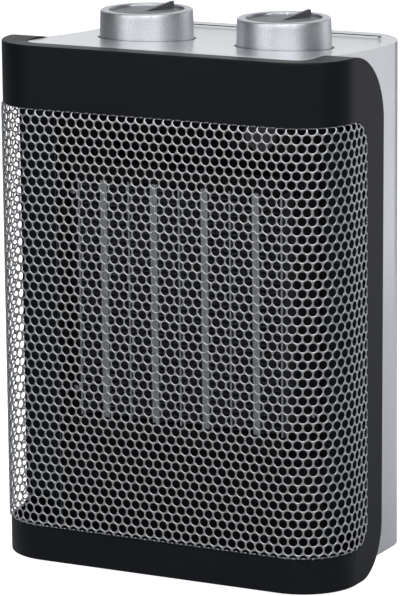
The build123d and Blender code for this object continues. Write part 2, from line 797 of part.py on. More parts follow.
stator_middle_y = (stator_front_y + stator_rear_y) / 2
stator_depth = stator_rear_y - stator_front_y
coil_centre_z = yoke_low_z + yoke_height / 2
with BuildPart() as coil_bobbin:
    for x in (-16.0, 14.5):
        with BuildSketch(Plane.YZ.offset(x)):
            with Locations((stator_middle_y, coil_centre_z)):
                RectangleRounded(stator_depth + 14, yoke_height + 14, 2)
                Rectangle(stator_depth + 0.4, yoke_height + 0.4, mode=Mode.SUBTRACT)
        extrude(amount=1.5)
    with BuildSketch(Plane.YZ.offset(-16.0)):
        with Locations((stator_middle_y, coil_centre_z)):
            Rectangle(stator_depth + 2.4, yoke_height + 2.4)
            Rectangle(stator_depth + 0.4, yoke_height + 0.4, mode=Mode.SUBTRACT)
    extrude(amount=32)
finish(coil_bobbin.part, "coil_bobbin")

with BuildPart() as motor_coil:
    with BuildSketch(Plane.YZ.offset(-14.4)):
        with Locations((stator_middle_y, coil_centre_z)):
            RectangleRounded(stator_depth + 12, yoke_height + 12, 3)
            Rectangle(stator_depth + 2.6, yoke_height + 2.6, mode=Mode.SUBTRACT)
    extrude(amount=28.8)
finish(motor_coil.part, "motor_coil")

with BuildPart() as motor_mount:
    with BuildSketch(facing(duct_rear_y + 2)):
        with Locations(axis_place):
            RectangleRounded(2 * (lug_x + 5), 16, 4)
            Circle(11)
            Circle(bush_r + 0.02, mode=Mode.SUBTRACT)
        with Locations((-lug_x, element_z), (lug_x, element_z)):
            Circle(screw_r + 0.2, mode=Mode.SUBTRACT)
    extrude(amount=2)
    with BuildSketch(facing(stator_front_y)):
        with Locations(*motor_screw_places):
            Circle(4)
    extrude(amount=stator_front_y - duct_rear_y - 1)
    with BuildSketch(facing(stator_front_y)):
        with Locations(*motor_screw_places):
            Circle(pilot_r)
    extrude(amount=8, mode=Mode.SUBTRACT)
finish(motor_mount.part, "motor_mount")

rear_bracket_y = 49.0
with BuildPart() as motor_rear_bracket:
    with BuildSketch(facing(rear_bracket_y + 1.6)):
        with Locations(axis_place):
            RectangleRounded(52, 13, 3)
            Circle(9)
            Circle(bush_r + 0.02, mode=Mode.SUBTRACT)
        with Locations(*motor_screw_places):
            Circle(screw_r + 0.2, mode=Mode.SUBTRACT)
    extrude(amount=1.6)
    with BuildSketch(facing(rear_bracket_y)):
        with Locations(*motor_screw_places):
            Circle(4)
            Circle(screw_r + 0.2, mode=Mode.SUBTRACT)
    extrude(amount=rear_bracket_y - stator_rear_y)
finish(motor_rear_bracket.part, "motor_rear_bracket")

with BuildPart() as motor_bushes:
    for y in (duct_rear_y + 4.5, rear_bracket_y + 3.5):
        with BuildSketch(facing(y)):
            with Locations(axis_place):
                Circle(bush_r)
                Circle(shaft_r + running_gap, mode=Mode.SUBTRACT)
        extrude(amount=6)
finish(motor_bushes.part, "motor_bushes")

# ---------------------------------------------------------------- controls
control_plate_z = control_plate_top_z - control_plate_thickness
knob_places = [(-knob_x, knob_y), (knob_x, knob_y)]
switch_body_height = 20.0
switch_body_top_z = control_plate_z
with BuildPart() as control_plate:
    with BuildSketch(level(control_plate_z)):
        with Locations((0, 3)):
            RectangleRounded(2 * 73.5, 44, 3)
        with Locations(*knob_places):
            Circle(5.1, mode=Mode.SUBTRACT)
        with Locations(*control_post_places):
            Circle(screw_r + 0.2, mode=Mode.SUBTRACT)
    extrude(amount=control_plate_thickness)
finish(control_plate.part, "control_plate")

with BuildPart() as selector_switch:
    with BuildSketch(level(switch_body_top_z - switch_body_height)):
        with Locations((-knob_x, knob_y)):
            RectangleRounded(30, 30, 3)
    extrude(amount=switch_body_height)
    with BuildSketch(level(switch_body_top_z)):
        with Locations((-knob_x, knob_y)):
            Circle(5)
    extrude(amount=6.5)
    with BuildSketch(level(switch_body_top_z - switch_body_height - 6)):
        with Locations((-knob_x, knob_y)):
            with GridLocations(8, 10, 3, 2):
                Rectangle(4.8, 0.8)
    extrude(amount=7)
    with BuildSketch(level(switch_body_top_z - 12)):
        with Locations((-knob_x, knob_y)):
            Circle(control_shaft_r + running_gap)
    extrude(amount=30, mode=Mode.SUBTRACT)
finish(selector_switch.part, "selector_switch")

with BuildPart() as thermostat:
    with BuildSketch(level(switch_body_top_z - 14)):
        with Locations((knob_x, knob_y)):
            Circle(15)
    extrude(amount=14)
    with BuildSketch(level(switch_body_top_z)):
        with Locations((knob_x, knob_y)):
            Circle(5)
    extrude(amount=6.5)
    with BuildSketch(level(switch_body_top_z - 20)):
        with Locations((knob_x, knob_y)):
            Rectangle(34, 10)
    extrude(amount=6)
    with BuildSketch(level(switch_body_top_z - 26)):
        with Locations((knob_x - 14, knob_y), (knob_x + 14, knob_y)):
            Rectangle(0.8, 6.3)
    extrude(amount=7)
    with BuildSketch(level(switch_body_top_z - 12)):
        with Locations((knob_x, knob_y)):
            Circle(control_shaft_r + running_gap)
    extrude(amount=30, mode=Mode.SUBTRACT)
finish(thermostat.part, "thermostat")

with BuildPart() as switch_nuts:
    with BuildSketch(level(control_plate_top_z)):
        with Locations(*knob_places):
            RegularPolygon(7, 6)
            Circle(5.05, mode=Mode.SUBTRACT)
    extrude(amount=2.4)
finish(switch_nuts.part, "switch_nuts")


def control_shaft(x):
    """Round shaft with a flat near its top."""
    with BuildPart() as shaft:
        with BuildSketch(level(switch_body_top_z - 11.5)):
            with Locations((x, knob_y)):
                Circle(control_shaft_r)
        extrude(amount=29)
        with BuildSketch(level(switch_body_top_z + 6.7)):
            with Locations((x, knob_y + control_shaft_r + 1.5)):
                Rectangle(10, 6)
        extrude(amount=20, mode=Mode.SUBTRACT)
    return shaft.part


finish(control_shaft(-knob_x), "selector_shaft")
finish(control_shaft(knob_x), "thermostat_shaft")

knob_floor_z = knob_rim_z - knob_dish_depth - 1.2


def knob(x):
    """Hollow, slightly tapered knob with a dish in its top and a hub for the shaft."""
    with BuildPart() as body:
        with BuildSketch(Plane.XZ):
            with BuildLine():
                Polyline(
                    (0, knob_floor_z),
                    (knob_dish_r, knob_floor_z),
                    (knob_dish_r, knob_rim_z - 0.2),
                    (knob_dish_r + 0.2, knob_rim_z),
                    (knob_rim_r - knob_rim_edge, knob_rim_z),
                    (knob_rim_r, knob_rim_z - knob_rim_edge),
                    (knob_base_r, knob_base_z),
                    (knob_base_r - knob_skin, knob_base_z),
                    (knob_rim_r - 2.0, knob_floor_z - 2.0),
                    (0, knob_floor_z - 2.0),
                    close=True,
                )
            make_face()
        revolve(axis=Axis.Z)
        with BuildSketch(level(knob_base_z + 0.6)):
            Circle(knob_hub_r)
        extrude(until=Until.NEXT)
        with BuildSketch(level(knob_base_z - 1)):
            Circle(control_shaft_r + 0.05)
            with Locations((0, control_shaft_r + 1.55)):
                Rectangle(10, 6, mode=Mode.SUBTRACT)
        extrude(amount=knob_floor_z - 2.0 - knob_base_z + 1, mode=Mode.SUBTRACT)
    return body.part.moved(Location((x, knob_y, 0)))


def knob_cap(x):
    """Disc that fills the knob's dish, with a pointer blade that climbs to the rim."""
    cap_top_z = knob_rim_z - knob_dish_depth
    with BuildPart() as cap:
        with BuildSketch(level(knob_floor_z)):
            Circle(knob_dish_r - 0.1)
        extrude(amount=cap_top_z - knob_floor_z)
        blade_plane = Plane(
            origin=(0, 0, cap_top_z - 0.2),
            x_dir=(cos(radians(pointer_angle)), sin(radians(pointer_angle)), 0),
            z_dir=(sin(radians(pointer_angle)), -cos(radians(pointer_angle)), 0),
        )
        with BuildSketch(blade_plane):
            with BuildLine():
                Polyline(
                    (-4, 0),
                    (knob_dish_r - 0.3, 0),
                    (knob_dish_r - 0.3, knob_dish_depth + 0.2 + pointer_rise),
                    close=True,
                )
            make_face()
        extrude(amount=1.1, both=True)
    return cap.part.moved(Location((x, knob_y, 0)))


finish(knob(-knob_x), "selector_knob")
finish(knob(knob_x), "thermostat_knob")
finish(knob_cap(-knob_x), "selector_knob_cap")
finish(knob_cap(knob_x), "thermostat_knob_cap")

with BuildPart() as knob_rings:
    with BuildSketch(level(ceiling_z - 2.4)):
        with Locations(*knob_places):
            Circle(ring_outer_r)
            Circle(ring_inner_r, mode=Mode.SUBTRACT)
    extrude(amount=10)
    with BuildSketch(level(ceiling_z - 2.4)):
        with Locations(*knob_places):
            Circle(ring_outer_r + 2)
            Circle(ring_inner_r, mode=Mode.SUBTRACT)
    extrude(amount=2.3)
    add(housing_envelope.part, mode=Mode.INTERSECT)
finish(knob_rings.part, "knob_rings")

# ---------------------------------------------------------------- base and what stands on it
base_plate_front_y = housing_front_y + clearance
with BuildPart() as base_plate:
    with BuildSketch(level(housing_bottom_z)):
        with Locations((0, (base_plate_front_y + housing_rear_y - wall - clearance) / 2)):
            Rectangle(
                2 * (housing_half_width - wall - clearance),
                housing_rear_y - wall - clearance - base_plate_front_y,
            )
        fillet(vertices().group_by(Axis.Y)[-1], housing_corner_r - wall - clearance)
    extrude(amount=plate_top_z - housing_bottom_z)
    # Posts for the terminal block and the tip-over switch
    with BuildSketch(level(plate_top_z - 0.5)):
        with Locations((tip_switch_x - 14, tip_switch_y), (tip_switch_x + 14, tip_switch_y)):
            Circle(3.5)
        with Locations((gland_x - 11, 22), (gland_x + 11, 22)):
            Circle(3.5)
    extrude(amount=4.5)
    with BuildSketch(level(0)):
        with Locations((tip_switch_x, tip_switch_y)):
            Circle(plunger_r + 0.5)
    extrude(amount=10, mode=Mode.SUBTRACT)
    with BuildSketch(level(0)):
        with Locations(*base_pillar_places):
            Circle(screw_r + 0.2)
    extrude(amount=10, mode=Mode.SUBTRACT)
    with BuildSketch(level(0)):
        with Locations((-rear_foot[0], rear_foot[1]), (rear_foot[0], rear_foot[1])):
            Circle(foot_r + 0.1)
    extrude(amount=housing_bottom_z + 1.2, mode=Mode.SUBTRACT)
    with BuildSketch(level(plate_top_z - 2)):
        with Locations((tip_switch_x - 14, tip_switch_y), (tip_switch_x + 14, tip_switch_y)):
            Circle(pilot_r)
        with Locations((gland_x - 11, 22), (gland_x + 11, 22)):
            Circle(pilot_r)
    extrude(amount=10, mode=Mode.SUBTRACT)
finish(base_plate.part, "base_plate")


def foot(x, y, top_z):
    """Round rubber foot with a slightly smaller sole."""
    with BuildPart() as pad:
        with BuildSketch(level(top_z)):
            with Locations((x, y)):
                Circle(foot_r)
        extrude(amount=-top_z)
        chamfer(pad.faces().sort_by(Axis.Z)[0].edges(), 0.6)
    return pad.part


feet = [foot(side * front_foot[0], front_foot[1], bezel_bottom_z + 1.2) for side in (-1, 1)]
feet += [foot(side * rear_foot[0], rear_foot[1], housing_bottom_z + 1.2) for side in (-1, 1)]
with BuildPart() as rubber_feet:
    for pad in feet:
        add(pad)
finish(rubber_feet.part, "rubber_feet")

# Tip-over switch: the floor holds its plunger up while the heater stands
plunger_collar_z = 14.0
spring_top_z = 24.0
tip_places = [(tip_switch_x - 14, tip_switch_y), (tip_switch_x + 14, tip_switch_y)]
tip_place = (tip_switch_x, tip_switch_y)
switch_floor_z = plate_top_z + 4.0
with BuildPart() as tip_switch:
    with BuildSketch(level(switch_floor_z)):
        with Locations(tip_place):
            RectangleRounded(36, 12, 3)
            Circle(plunger_r + 0.08, mode=Mode.SUBTRACT)
        with Locations(*tip_places):
            Circle(screw_r + 0.2, mode=Mode.SUBTRACT)
    extrude(amount=2)
    with BuildSketch(level(switch_floor_z + 2)):
        with Locations(tip_place):
            Rectangle(16, 12)
            Circle(4.6, mode=Mode.SUBTRACT)
    extrude(amount=spring_top_z - switch_floor_z - 2)
    with BuildSketch(level(spring_top_z)):
        with Locations(tip_place):
            Rectangle(16, 12)
    extrude(amount=8)
    with BuildSketch(level(spring_top_z + 8)):
        with Locations((tip_switch_x - 4.5, tip_switch_y), (tip_switch_x + 4.5, tip_switch_y)):
            Rectangle(0.8, 4.8)
    extrude(amount=7)
finish(tip_switch.part, "tip_over_switch")

plunger_travel = 3.5
with BuildPart() as tip_plunger:
    with BuildSketch(level(0)):
        with Locations(tip_place):
            Circle(plunger_r)
    extrude(amount=plunger_collar_z)
    with BuildSketch(level(plunger_collar_z)):
        with Locations(tip_place):
            Circle(4.3)
    extrude(amount=1.6)
    fillet(tip_plunger.faces().sort_by(Axis.Z)[0].edges(), 1)
finish(tip_plunger.part, "tip_over_plunger")

spring_turns = 4
spring_low_z = plunger_collar_z + 1.6
spring_wire_r = 0.35
spring_coil_r = 3.2
spring_height = spring_top_z - spring_low_z
with BuildPart() as tip_spring:
    with BuildLine() as spring_path:
        Helix(
            pitch=(spring_height - 2 * spring_wire_r) / spring_turns,
            height=spring_height - 2 * spring_wire_r,
            radius=spring_coil_r,
            center=(tip_switch_x, tip_switch_y, spring_low_z + spring_wire_r),
        )
    with BuildSketch(Plane(origin=spring_path.line @ 0, z_dir=spring_path.line % 0)):
        Circle(spring_wire_r)
    sweep(is_frenet=True)
finish(tip_spring.part, "tip_over_spring")

# Terminal block, cable inlet and cable clamp at the back of the base
block_places = [(gland_x - 11, 22), (gland_x + 11, 22)]
block_floor_z = plate_top_z + 4.0
with BuildPart() as terminal_block:
    with BuildSketch(level(block_floor_z)):
        with Locations((gland_x, 22)):
            Rectangle(32, 14)
    extrude(amount=12)
    with BuildSketch(level(block_floor_z)):
        with Locations(*block_places):
            Circle(screw_r + 0.2)
    extrude(amount=12, mode=Mode.SUBTRACT)
    with BuildSketch(level(block_floor_z + 4)):
        with Locations((gland_x - 5, 22), (gland_x + 5, 22)):
            Circle(2)
    extrude(amount=10, mode=Mode.SUBTRACT)
    with BuildSketch(facing(30)):
        with Locations((gland_x - 5, block_floor_z + 4), (gland_x + 5, block_floor_z + 4)):
            Circle(1.8)
    extrude(amount=16, mode=Mode.SUBTRACT)
finish(terminal_block.part, "terminal_block")

with BuildPart() as cable_gland:
    with BuildSketch(facing(rear_y)):
        with Locations((gland_x, gland_z)):
            Circle(9)
            Circle(gland_bore_r, mode=Mode.SUBTRACT)
    extrude(amount=rear_y - housing_rear_y + 2)
    with BuildSketch(facing(housing_rear_y - 2)):
        with Locations((gland_x, gland_z)):
            Circle(7)
            Circle(gland_bore_r, mode=Mode.SUBTRACT)
    extrude(amount=8)
    fillet(cable_gland.faces().sort_by(Axis.Y)[-1].edges().sort_by(SortBy.RADIUS)[-1], 0.8)
finish(cable_gland.part, "cable_gland")

# ---------------------------------------------------------------- screws
def seat_forward(x, y, z):
    """Seat plane of a screw whose head faces forward."""
    return Plane(origin=(x, y, z), x_dir=(1, 0, 0), z_dir=(0, -1, 0))


def seat_backward(x, y, z):
    """Seat plane of a screw whose head faces backward."""
    return Plane(origin=(x, y, z), x_dir=(1, 0, 0), z_dir=(0, 1, 0))


def seat_up(x, y, z):
    """Seat plane of a screw whose head faces up."""
    return Plane(origin=(x, y, z), x_dir=(1, 0, 0), z_dir=(0, 0, 1))


def seat_down(x, y, z):
    """Seat plane of a screw whose head faces down."""
    return Plane(origin=(x, y, z), x_dir=(1, 0, 0), z_dir=(0, 0, -1))


screw_sets = {
    "bezel_screws": ([seat_backward(x, frame_rear_y, z) for x, z in post_places], 12.0),
    "frame_screws": ([seat_forward(x, frame_front_y, z) for x, z in frame_boss_places], 12.0),
    "duct_screws": ([seat_backward(x, frame_rear_y + 2.5, z) for x, z in duct_screw_places], 4.5),
    "holder_screws": ([seat_forward(x, frame_front_y - 2.4, z) for x, z in holder_screw_places], 4.5),
    "cutoff_screws": ([seat_forward(x, frame_front_y - 1.0, z) for x, z in cutoff_screw_places], 3.2),
    "rear_grille_screws": ([seat_backward(x, ledge_rear_y + 1.0, z) for x, z in panel_screw_places], 8.0),
    "motor_screws": (
        [seat_backward(x, rear_bracket_y + 1.6, z) for x, z in motor_screw_places],
        rear_bracket_y + 1.6 - duct_rear_y - 1,
    ),
    "mount_screws": ([seat_backward(x, duct_rear_y + 2, element_z) for x in (-lug_x, lug_x)], 9.0),
    "control_plate_screws": ([seat_down(x, y, control_plate_z) for x, y in control_post_places], 5.0),
    "base_screws": ([seat_down(x, y, housing_bottom_z) for x, y in base_pillar_places], 12.0),
    "terminal_block_screws": ([seat_up(x, y, block_floor_z + 12) for x, y in block_places], 14.0),
    "tip_switch_screws": ([seat_up(x, y, switch_floor_z + 2) for x, y in tip_places], 5.0),
}
for name, (planes, length) in screw_sets.items():
    finish(screw_group(planes, length), name)
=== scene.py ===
import json
import math

import bmesh
import bpy
from mathutils import Matrix, Vector

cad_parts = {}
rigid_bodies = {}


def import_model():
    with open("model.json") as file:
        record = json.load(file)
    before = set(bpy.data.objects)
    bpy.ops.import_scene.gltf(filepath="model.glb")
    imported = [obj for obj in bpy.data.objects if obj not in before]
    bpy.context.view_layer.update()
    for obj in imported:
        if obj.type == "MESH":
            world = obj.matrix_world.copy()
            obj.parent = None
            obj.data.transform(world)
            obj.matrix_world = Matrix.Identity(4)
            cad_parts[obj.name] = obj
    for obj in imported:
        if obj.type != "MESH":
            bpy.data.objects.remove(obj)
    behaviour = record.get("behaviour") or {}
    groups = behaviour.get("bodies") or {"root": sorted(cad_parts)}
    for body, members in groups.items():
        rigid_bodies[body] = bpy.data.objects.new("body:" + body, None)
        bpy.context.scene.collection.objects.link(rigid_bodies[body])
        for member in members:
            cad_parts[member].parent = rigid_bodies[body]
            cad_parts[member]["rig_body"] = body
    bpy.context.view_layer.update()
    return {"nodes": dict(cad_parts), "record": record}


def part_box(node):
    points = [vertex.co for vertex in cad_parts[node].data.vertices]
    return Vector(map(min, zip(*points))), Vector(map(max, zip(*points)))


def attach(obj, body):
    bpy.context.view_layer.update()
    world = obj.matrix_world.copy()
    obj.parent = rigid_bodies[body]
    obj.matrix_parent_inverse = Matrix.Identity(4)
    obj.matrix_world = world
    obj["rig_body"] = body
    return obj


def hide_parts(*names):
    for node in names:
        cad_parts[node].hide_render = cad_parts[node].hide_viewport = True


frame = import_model()
MM = 0.001

# ---------------------------------------------------------------- camera
# The camera stands to the right of the front and a little above, rolled by under a degree.
CAMERA_PLACE = Vector((0.8687, -1.6667, 0.5390))
CAMERA_AZIMUTH = math.radians(28.452)
CAMERA_ELEVATION = math.radians(12.768)
CAMERA_ROLL = math.radians(-0.730)
CAMERA_LENS = 234.85
CAMERA_SENSOR = 36.0
CAMERA_SHIFT = (0.0785, 0.0570)
CAMERA_CLIP = (0.05, 60.0)


def add_camera():
    """Long-lens camera that looks at the heater from the front right."""
    data = bpy.data.cameras.new("camera")
    data.lens = CAMERA_LENS
    data.sensor_width = CAMERA_SENSOR
    data.shift_x, data.shift_y = CAMERA_SHIFT
    data.clip_start, data.clip_end = CAMERA_CLIP
    camera = bpy.data.objects.new("camera", data)
    back = Vector(
        (
            math.sin(CAMERA_AZIMUTH) * math.cos(CAMERA_ELEVATION),
            -math.cos(CAMERA_AZIMUTH) * math.cos(CAMERA_ELEVATION),
            math.sin(CAMERA_ELEVATION),
        )
    )
    right = Vector((math.cos(CAMERA_AZIMUTH), math.sin(CAMERA_AZIMUTH), 0.0))
    up = back.cross(right)
    turn = Matrix((right, up, back)).transposed().to_4x4()
    roll = Matrix.Rotation(CAMERA_ROLL, 4, "Z")
    camera.matrix_world = Matrix.Translation(CAMERA_PLACE) @ turn @ roll
    bpy.context.scene.collection.objects.link(camera)
    bpy.context.scene.camera = camera


add_camera()

# ---------------------------------------------------------------- node helpers
# Nearly all values of a noise texture lie in this span.
NOISE_SPAN = (0.25, 0.75)


def new_material(name, colour, roughness, metallic=0.0, **sockets):
    """Principled material with constant sockets. Returns the material and its shader node."""
    material = bpy.data.materials.new(name)
    material.use_nodes = True
    shader = material.node_tree.nodes["Principled BSDF"]
    shader.inputs["Base Color"].default_value = (*colour, 1.0)
    shader.inputs["Roughness"].default_value = roughness
    shader.inputs["Metallic"].default_value = metallic
    for key, value in sockets.items():
        shader.inputs[key.replace("_", " ")].default_value = value
    return material, shader


def object_point(material, centre=(0.0, 0.0, 0.0), scale=(1.0, 1.0, 1.0)):
    """Object coordinates measured from centre."""
    nodes, links = material.node_tree.nodes, material.node_tree.links
    place = nodes.new("ShaderNodeTexCoord")
    mapping = nodes.new("ShaderNodeMapping")
    mapping.vector_type = "POINT"
    mapping.inputs["Location"].default_value = [-c * s for c, s in zip(centre, scale)]
    mapping.inputs["Scale"].default_value = scale
    links.new(place.outputs["Object"], mapping.inputs["Vector"])
    return mapping.outputs["Vector"]


def noise(material, scale, detail=2.0, vector=None):
    """Noise texture value, from 0 to 1."""
    node = material.node_tree.nodes.new("ShaderNodeTexNoise")
    node.inputs["Scale"].default_value = scale
    node.inputs["Detail"].default_value = detail
    vector = vector or object_point(material)
    material.node_tree.links.new(vector, node.inputs["Vector"])
    return node.outputs["Fac"]


def wave(material, scale, bands="Z", rings=False, distortion=0.0, vector=None):
    """Wave texture value, from 0 to 1, in bands along an axis or in rings round it."""
    node = material.node_tree.nodes.new("ShaderNodeTexWave")
    node.wave_type = "RINGS" if rings else "BANDS"
    if rings:
        node.rings_direction = bands
    else:
        node.bands_direction = bands
    node.inputs["Scale"].default_value = scale
    node.inputs["Distortion"].default_value = distortion
    vector = vector or object_point(material)
    material.node_tree.links.new(vector, node.inputs["Vector"])
    return node.outputs["Fac"]


def spread(material, value, low, high):
    """The usual span of a noise texture carried to low to high."""
    node = material.node_tree.nodes.new("ShaderNodeMapRange")
    node.inputs["From Min"].default_value, node.inputs["From Max"].default_value = NOISE_SPAN
    node.inputs["To Min"].default_value = low
    node.inputs["To Max"].default_value = high
    material.node_tree.links.new(value, node.inputs["Value"])
    return node.outputs["Result"]


def blend_colour(material, shader, value, dark, light):
    """Base colour that runs from dark to light with the texture value."""
    node = material.node_tree.nodes.new("ShaderNodeMix")
    node.data_type = "RGBA"
    node.inputs["A"].default_value = (*dark, 1.0)
    node.inputs["B"].default_value = (*light, 1.0)
    material.node_tree.links.new(value, node.inputs["Factor"])
    material.node_tree.links.new(node.outputs["Result"], shader.inputs["Base Color"])


def bump(material, shader, value, height):
    """Fine relief of the given height in metres."""
    node = material.node_tree.nodes.new("ShaderNodeBump")
    node.inputs["Distance"].default_value = height
    node.inputs["Strength"].default_value = 1.0
    material.node_tree.links.new(value, node.inputs["Height"])
    material.node_tree.links.new(node.outputs["Normal"], shader.inputs["Normal"])


# ---------------------------------------------------------------- finishes


def gloss_black():
    """Satin gloss black moulding of the bezel."""
    material, shader = new_material(
        "bezel_black", (0.006, 0.007, 0.010), 0.42, Specular_IOR_Level=0.11
    )
    grain = noise(material, 1800.0, 3.0)
    tone = noise(material, 30.0, 2.0)
    blend_colour(material, shader, tone, (0.004, 0.005, 0.008), (0.007, 0.008, 0.011))
    material.node_tree.links.new(spread(material, grain, 0.38, 0.46), shader.inputs["Roughness"])
    bump(material, shader, grain, 0.00001)
    return material


def silver_lacquer():
    """Fine metallic lacquer under a clear coat."""
    material, shader = new_material(
        "housing_silver", (0.60, 0.61, 0.65), 0.34, 0.55, Coat_Weight=1.0, Coat_Roughness=0.2
    )
    flake = noise(material, 1700.0, 2.0)
    blend_colour(material, shader, flake, (0.40, 0.41, 0.45), (0.66, 0.67, 0.71))
    material.node_tree.links.new(spread(material, flake, 0.28, 0.40), shader.inputs["Roughness"])
    bump(material, shader, noise(material, 260.0, 2.0), 0.000004)
    return material


def perforated_steel():
    """Mid grey satin steel sheet with faint marks that run round it."""
    material, shader = new_material("grille_steel", (0.42, 0.43, 0.45), 0.32, 0.92)
    streak = noise(material, 300.0, 4.0, object_point(material, scale=(1.0, 1.0, 12.0)))
    blend_colour(material, shader, streak, (0.37, 0.38, 0.40), (0.47, 0.48, 0.50))
    material.node_tree.links.new(spread(material, streak, 0.26, 0.38), shader.inputs["Roughness"])
    bump(material, shader, streak, 0.000012)
    return material


def punched_edge():
    """Rougher steel on the walls of the holes."""
    material, shader = new_material("punched_edge", (0.44, 0.45, 0.47), 0.45, 0.7)
    tear = noise(material, 5000.0, 2.0)
    blend_colour(material, shader, tear, (0.36, 0.37, 0.39), (0.52, 0.53, 0.55))
    bump(material, shader, tear, 0.00001)
    return material


def knob_metal(name, centre):
    """Satin turned metal, with faint rings round the knob's own axis."""
    material, shader = new_material(name, (0.60, 0.62, 0.65), 0.42, 1.0)
    around = object_point(material, centre)
    lathe = wave(material, 900.0, "Z", rings=True, distortion=0.6, vector=around)
    speck = noise(material, 1600.0, 2.0, around)
    blend_colour(material, shader, speck, (0.42, 0.44, 0.47), (0.80, 0.82, 0.85))
    material.node_tree.links.new(spread(material, speck, 0.38, 0.48), shader.inputs["Roughness"])
    bump(material, shader, lathe, 0.000003)
    return material


def knob_cap_grey(name, centre):
    """Dark grey satin disc with concentric turning marks."""
    material, shader = new_material(name, (0.10, 0.105, 0.12), 0.38, 0.7)
    around = object_point(material, centre)
    lathe = wave(material, 420.0, "Z", rings=True, distortion=0.4, vector=around)
    blend_colour(material, shader, lathe, (0.085, 0.09, 0.105), (0.14, 0.145, 0.16))
    bump(material, shader, lathe, 0.000008)
    return material


def toned(colour, factor):
    """The colour made darker or lighter, and no lighter than white."""
    return tuple(min(1.0, channel * factor) for channel in colour)


def moulding(name, colour, roughness=0.5, grain_height=0.00002, scale=900.0, gloss=0.5):
    """Moulded plastic with a fine grain."""
    material, shader = new_material(name, colour, roughness, Specular_IOR_Level=gloss)
    grain = noise(material, scale, 3.0)
    tone = noise(material, 40.0, 2.0)
    blend_colour(material, shader, tone, toned(colour, 0.88), toned(colour, 1.12))
    material.node_tree.links.new(
        spread(material, grain, roughness - 0.05, roughness + 0.08), shader.inputs["Roughness"]
    )
    bump(material, shader, grain, grain_height)
    return material


def bare_metal(name, colour, roughness=0.35, stretch=(1.0, 1.0, 8.0), scale=400.0):
    """Metal with rolling or brushing marks."""
    material, shader = new_material(name, colour, roughness, 1.0)
    streak = noise(material, scale, 4.0, object_point(material, scale=stretch))
    blend_colour(material, shader, streak, toned(colour, 0.82), toned(colour, 1.1))
    material.node_tree.links.new(
        spread(material, streak, roughness - 0.07, roughness + 0.10), shader.inputs["Roughness"]
    )
    bump(material, shader, streak, 0.000015)
    return material


def layered(name, colours, scale, axis, metallic, roughness, height):
    """Fine bands in two colours, for laminations and windings."""
    material, shader = new_material(name, colours[1], roughness, metallic)
    bands = wave(material, scale, axis, distortion=0.3)
    blend_colour(material, shader, bands, colours[0], colours[1])
    bump(material, shader, bands, height)
    return material


def fired_ceramic():
    """Dark fired ceramic with specks."""
    material, shader = new_material("ceramic", (0.20, 0.19, 0.18), 0.6)
    speck = noise(material, 2200.0, 4.0)
    blend_colour(material, shader, speck, (0.14, 0.13, 0.12), (0.28, 0.27, 0.25))
    bump(material, shader, speck, 0.00002)
    return material


FINISHES = {
    "bezel_black": gloss_black(),
    "grille_steel": perforated_steel(),
    "housing_silver": silver_lacquer(),
    "panel_black": moulding("panel_black", (0.030, 0.031, 0.034), 0.45),
    "rubber": moulding("rubber", (0.020, 0.020, 0.020), 0.75, 0.00004, 600.0),
    "steel": bare_metal("steel", (0.55, 0.56, 0.58), 0.36),
    "screw_steel": bare_metal("screw_steel", (0.48, 0.48, 0.50), 0.33),
    "blackened_steel": moulding("blackened_steel", (0.006, 0.006, 0.006), 0.5, gloss=0.2),
    "aluminium": bare_metal("aluminium", (0.38, 0.39, 0.41), 0.42, (8.0, 1.0, 1.0)),
    "ceramic": fired_ceramic(),
    "heatproof_black": moulding("heatproof_black", (0.004, 0.004, 0.004), 0.6, gloss=0.12),
    "fan_white": moulding("fan_white", (0.70, 0.70, 0.67), 0.42),
    "lamination": layered(
        "lamination", ((0.10, 0.10, 0.11), (0.34, 0.35, 0.37)), 320.0, "Y", 0.9, 0.45, 0.00003
    ),
    "copper": layered(
        "copper", ((0.30, 0.10, 0.03), (0.72, 0.30, 0.12)), 450.0, "X", 0.9, 0.3, 0.00006
    ),
    "brass": bare_metal("brass", (0.74, 0.55, 0.26), 0.32),
    "switch_body": moulding("switch_body", (0.06, 0.06, 0.065), 0.5),
    "terminal_white": moulding("terminal_white", (0.72, 0.71, 0.68), 0.45),
}


def knob_centre(node):
    """Foot of the node's upright axis."""
    low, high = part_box(node)
    return ((low.x + high.x) / 2, (low.y + high.y) / 2, low.z)


for control in ("selector", "thermostat"):
    centre = knob_centre(f"{control}_knob")
    FINISHES[f"{control}_knob"] = knob_metal(f"{control}_knob_silver", centre)
    FINISHES[f"{control}_knob_cap"] = knob_cap_grey(f"{control}_knob_cap_grey", centre)

SLOT_OF = {row["node"]: row["material_slot"] for row in frame["record"]["subparts"]}


def finish_of(node):
    """The finish of a CAD node: the knobs' own, or the one of its slot."""
    return FINISHES.get(node) or FINISHES[SLOT_OF[node]]


for node, cad_object in frame["nodes"].items():
    cad_object.data.materials.clear()
    cad_object.data.materials.append(finish_of(node))

# ---------------------------------------------------------------- mesh helpers
# Points closer than this are one point.
WELD = 0.01 * MM
FLAT_FACE_WEIGHT = 90
SHARP_DEGREES = 32.0


def to_object(bm, name, material, body="heater_body"):
    """Turn a bmesh into a finished piece that rides on a body."""
    mesh = bpy.data.meshes.new(name)
    bm.to_mesh(mesh)
    bm.free()
    piece = bpy.data.objects.new(name, mesh)
    bpy.context.scene.collection.objects.link(piece)
    mesh.materials.append(material)
    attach(piece, body)
    return piece


def shade(piece, degrees):
    """Smooth shading, with edges sharper than the angle left crisp."""
    piece.data.shade_smooth()
    piece.data.set_sharp_from_angle(angle=math.radians(degrees))


